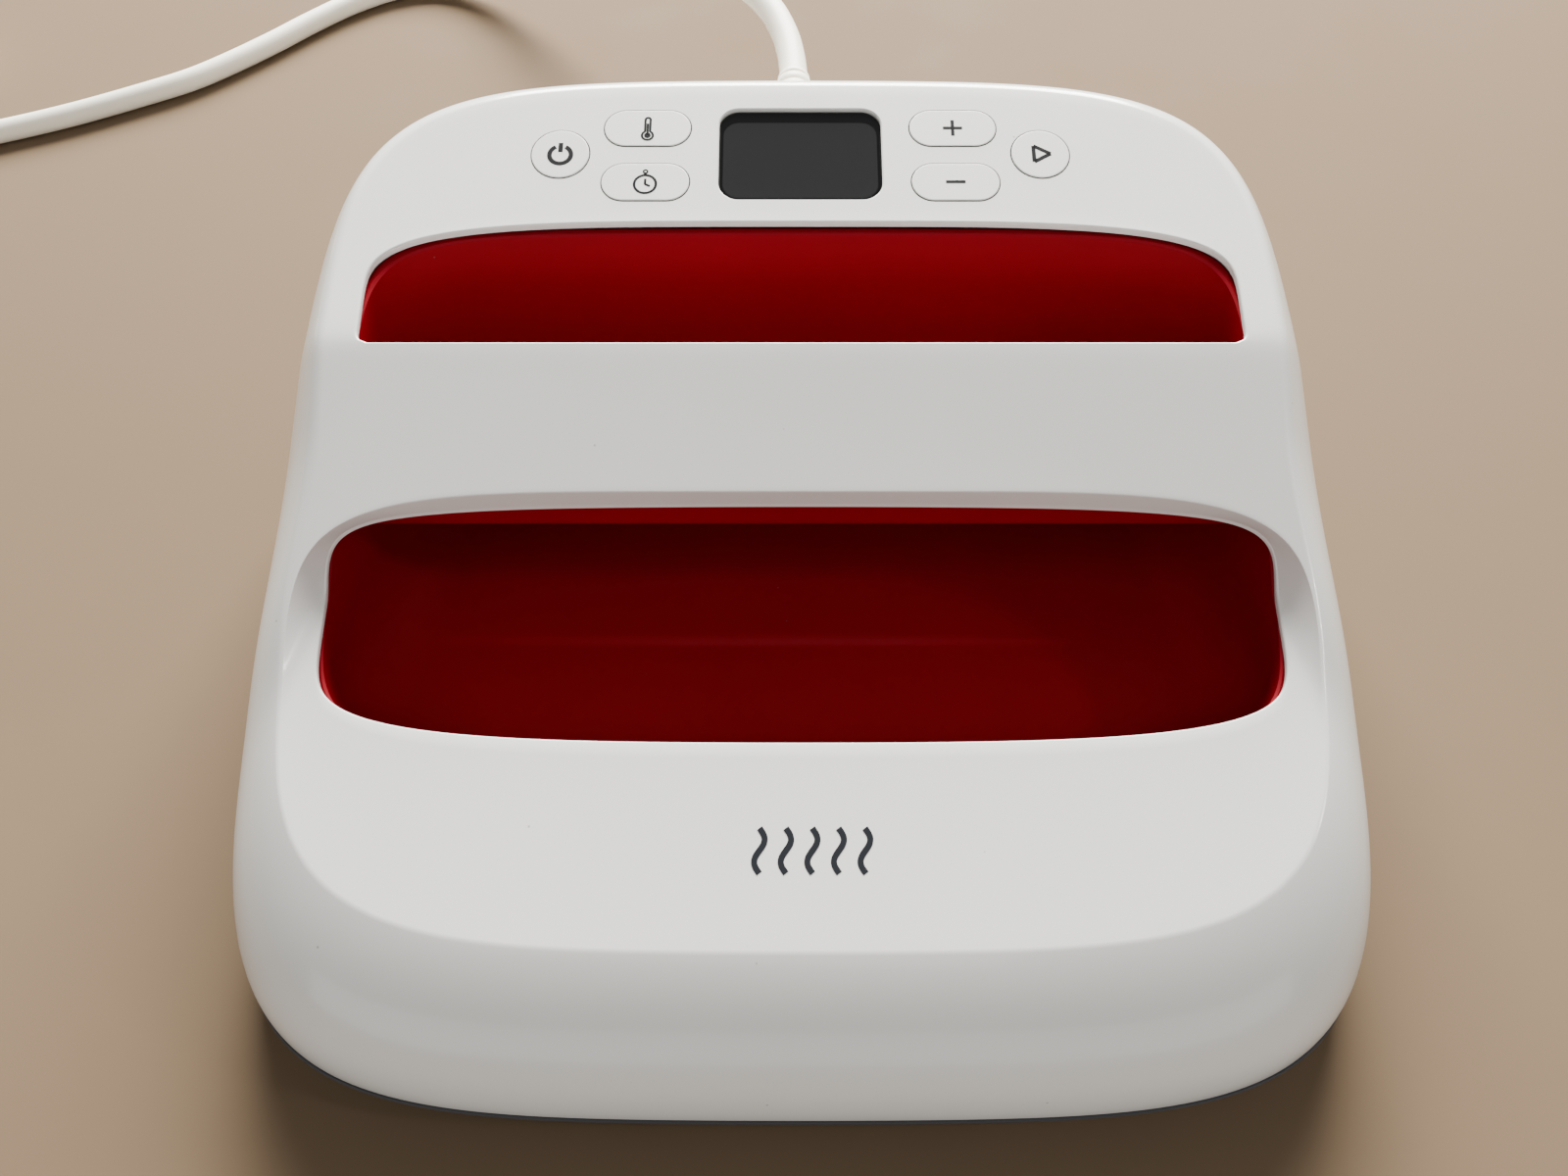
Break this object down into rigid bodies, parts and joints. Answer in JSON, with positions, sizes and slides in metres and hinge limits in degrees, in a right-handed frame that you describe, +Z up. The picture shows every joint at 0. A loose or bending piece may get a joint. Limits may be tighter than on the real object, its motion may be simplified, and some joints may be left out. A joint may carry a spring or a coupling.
{
  "type": "hand-held heat press",
  "caption": "Square hand-held heat press: glossy white shell with a through handle over a red hand well, tilted control panel, flat heated plate beneath and a mains cord.",
  "frame": {"origin": "centre of the object's footprint (cord and plug left out) on the plane of the heated face", "axes": "+X to the user's right, +Y to the rear where the cord leaves, +Z up out of the work surface"},
  "size_m": [0.6104, 0.5005, 0.1152],
  "materials": {
    "shell_white": "glossy moulded",
    "button_white": "semi-gloss moulded",
    "well_red": "satin, fine grain",
    "housing_grey": "matt moulded",
    "plate_coating": "smooth non-stick coating",
    "sheath_steel": "drawn",
    "sheet_aluminium": "mill finish",
    "insulation_fibre": "pressed fibre",
    "window_dark": "polished, dark tinted",
    "moulding_black": "moulded",
    "switch_black": "moulded",
    "board_green": "solder mask",
    "cord_white": "satin",
    "wire_silicone": "satin",
    "tie_black": "matt",
    "brass_contact": "plated",
    "screw_steel": "zinc plated"
  },
  "bodies": {
    "housing": {"display_window": "window_dark", "display_module": "moulding_black", "power_switch": "switch_black", "temperature_switch": "switch_black", "timer_switch": "switch_black", "plus_switch": "switch_black", "minus_switch": "switch_black", "start_switch": "switch_black", "control_board": "board_green", "top_shell": "shell_white", "hand_well": "well_red", "handle_lower_cover": "well_red", "bottom_housing": "housing_grey", "heat_plate": "plate_coating", "heating_element": "sheath_steel", "plate_insulation": "insulation_fibre", "heat_shield": "sheet_aluminium", "plate_spacer_1": "insulation_fibre", "plate_spacer_2": "insulation_fibre", "plate_spacer_3": "insulation_fibre", "plate_spacer_4": "insulation_fibre", "temperature_sensor": "sheath_steel", "thermal_fuse": "brass_contact", "power_board": "board_green", "transformer": "moulding_black", "relay": "moulding_black", "filter_capacitor": "moulding_black", "terminal_block": "moulding_black", "triac_heatsink": "sheet_aluminium", "heater_lead_1": "wire_silicone", "heater_lead_2": "wire_silicone", "ribbon_cable": "wire_silicone", "mains_lead": "wire_silicone", "strain_relief": "cord_white", "cord": "cord_white", "cord_coil": "cord_white", "cord_tie": "tie_black", "cord_tail": "cord_white", "plug_body": "cord_white", "plug_blade_1": "brass_contact", "plug_blade_2": "brass_contact", "earth_pin": "brass_contact", "housing_screw_1": "screw_steel", "housing_screw_2": "screw_steel", "housing_screw_3": "screw_steel", "housing_screw_4": "screw_steel", "housing_screw_5": "screw_steel", "housing_screw_6": "screw_steel", "well_screw_1": "screw_steel", "well_screw_2": "screw_steel", "well_screw_3": "screw_steel", "well_screw_4": "screw_steel"},
    "power_key": {"power_button": "button_white"},
    "temperature_key": {"temperature_button": "button_white"},
    "timer_key": {"timer_button": "button_white"},
    "plus_key": {"plus_button": "button_white"},
    "minus_key": {"minus_button": "button_white"},
    "start_key": {"start_button": "button_white"}
  },
  "joints": [
    {"name": "power_press", "type": "slide", "parent": "housing", "child": "power_key", "axis": [0, 0.2537, -0.9673], "range_m": [0, 0.0008], "stiffness_N_per_m": 900, "springref_m": -0.0008},
    {"name": "temperature_press", "type": "slide", "parent": "housing", "child": "temperature_key", "axis": [0, 0.2537, -0.9673], "range_m": [0, 0.0008], "stiffness_N_per_m": 900, "springref_m": -0.0008},
    {"name": "timer_press", "type": "slide", "parent": "housing", "child": "timer_key", "axis": [0, 0.2537, -0.9673], "range_m": [0, 0.0008], "stiffness_N_per_m": 900, "springref_m": -0.0008},
    {"name": "plus_press", "type": "slide", "parent": "housing", "child": "plus_key", "axis": [0, 0.2537, -0.9673], "range_m": [0, 0.0008], "stiffness_N_per_m": 900, "springref_m": -0.0008},
    {"name": "minus_press", "type": "slide", "parent": "housing", "child": "minus_key", "axis": [0, 0.2537, -0.9673], "range_m": [0, 0.0008], "stiffness_N_per_m": 900, "springref_m": -0.0008},
    {"name": "start_press", "type": "slide", "parent": "housing", "child": "start_key", "axis": [0, 0.2537, -0.9673], "range_m": [0, 0.0008], "stiffness_N_per_m": 900, "springref_m": -0.0008}
  ]
}
